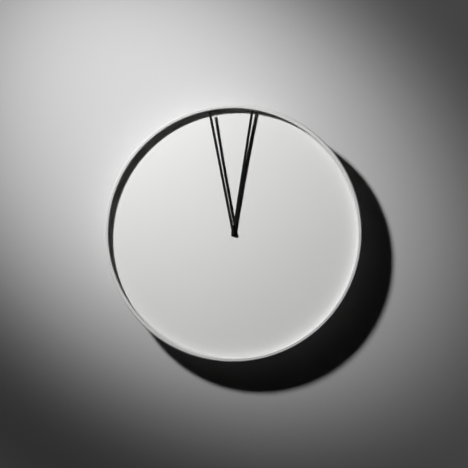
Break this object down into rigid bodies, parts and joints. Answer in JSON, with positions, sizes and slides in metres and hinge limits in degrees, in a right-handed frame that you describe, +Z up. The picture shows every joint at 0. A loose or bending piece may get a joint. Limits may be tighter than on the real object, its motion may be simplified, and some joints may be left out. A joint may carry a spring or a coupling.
{
  "type": "wall clock",
  "caption": "Round wall clock: deep white drum, plain domed dial without marks, slim black stick hands, quartz movement and keyhole hanger bar.",
  "frame": {"origin": "on the axis of the hands, in the plane of the wall that the rear rim rests on", "axes": "+Z up, the dial faces -Y, +Y points into the wall, +X to the right as the clock is seen"},
  "size_m": [0.35, 0.0461, 0.35],
  "materials": {
    "case_white": "spun aluminium, satin white paint, very fine orange peel",
    "dial_white": "moulded, matt white, without marks",
    "hand_black": "matt black paint",
    "retainer_plastic": "moulded, fine matt texture",
    "zinc_steel": "bright zinc plating",
    "post_aluminium": "turned, plain",
    "housing_black": "moulded, fine spark texture",
    "train_plastic": "moulded acetal, natural",
    "arbor_brass": "turned",
    "battery_jacket": "plain printed sleeve without words",
    "contact_nickel": "nickel plated spring steel",
    "board_laminate": "paper laminate board",
    "chip_resin": "black resin over the chip",
    "crystal_can": "flat metal can",
    "coil_copper": "enamelled copper wire",
    "soft_iron": "stamped soft iron",
    "magnet_ferrite": "sintered",
    "knob_plastic": "moulded, grooved edge"
  },
  "bodies": {
    "case": {"case_ring": "case_white", "dial": "dial_white", "dial_retainers": "retainer_plastic", "hanger_bar": "zinc_steel", "hanger_posts": "post_aluminium", "movement_base": "housing_black", "movement_cover": "housing_black", "train_bridge": "train_plastic", "battery": "battery_jacket", "contact_positive": "contact_nickel", "contact_negative": "contact_nickel", "circuit_board": "board_laminate", "driver_chip": "chip_resin", "quartz_crystal": "crystal_can", "coil_bobbin": "train_plastic", "coil_winding": "coil_copper", "stator": "soft_iron"},
    "minute_works": {"minute_shaft": "arbor_brass", "clutch_spring": "contact_nickel", "minute_hand": "hand_black", "minute_hand_bush": "hand_black"},
    "hour_works": {"hour_wheel": "train_plastic", "hour_hand": "hand_black", "hour_hand_collet": "hand_black"},
    "motion_works": {"minute_wheel": "train_plastic"},
    "setting": {"setting_knob": "knob_plastic"},
    "motor_rotor": {"rotor": "train_plastic", "rotor_magnet": "magnet_ferrite"},
    "intermediate": {"intermediate_wheel": "train_plastic"},
    "seconds": {"seconds_wheel": "train_plastic"},
    "third": {"third_wheel": "train_plastic"},
    "centre_drive": {"centre_wheel": "train_plastic"}
  },
  "joints": [
    {"name": "minute_hand_turn", "type": "hinge", "parent": "case", "child": "minute_works", "pos_m": [0, 0, 0], "axis": [0, 1, 0], "continuous": true},
    {"name": "hour_hand_turn", "type": "hinge", "parent": "case", "child": "hour_works", "pos_m": [0, 0, 0], "axis": [0, 1, 0], "continuous": true},
    {"name": "motion_works_turn", "type": "hinge", "parent": "case", "child": "motion_works", "pos_m": [-0.0078, 0, -0.00138], "axis": [0, 1, 0], "continuous": true},
    {"name": "setting_knob_turn", "type": "hinge", "parent": "case", "child": "setting", "pos_m": [-0.01572, 0, -0.00138], "axis": [0, 1, 0], "continuous": true},
    {"name": "rotor_turn", "type": "hinge", "parent": "case", "child": "motor_rotor", "pos_m": [-0.00816, 0, 0.01126], "axis": [0, 1, 0], "continuous": true},
    {"name": "intermediate_turn", "type": "hinge", "parent": "case", "child": "intermediate", "pos_m": [-0.00302, 0, 0.00829], "axis": [0, 1, 0], "continuous": true},
    {"name": "seconds_turn", "type": "hinge", "parent": "case", "child": "seconds", "pos_m": [0, 0, 0], "axis": [0, 1, 0], "continuous": true},
    {"name": "third_turn", "type": "hinge", "parent": "case", "child": "third", "pos_m": [0.00748, 0, 0.00432], "axis": [0, 1, 0], "continuous": true},
    {"name": "centre_drive_turn", "type": "hinge", "parent": "case", "child": "centre_drive", "pos_m": [0, 0, 0], "axis": [0, 1, 0], "continuous": true}
  ],
  "couplings": [
    {"joint": "hour_hand_turn", "follows": "minute_hand_turn", "ratio": 0.083333},
    {"joint": "motion_works_turn", "follows": "minute_hand_turn", "ratio": -0.33333},
    {"joint": "setting_knob_turn", "follows": "minute_hand_turn", "ratio": 1},
    {"joint": "intermediate_turn", "follows": "rotor_turn", "ratio": -0.2},
    {"joint": "seconds_turn", "follows": "rotor_turn", "ratio": 0.033333},
    {"joint": "third_turn", "follows": "rotor_turn", "ratio": -0.0044444},
    {"joint": "centre_drive_turn", "follows": "rotor_turn", "ratio": 0.00055556}
  ]
}
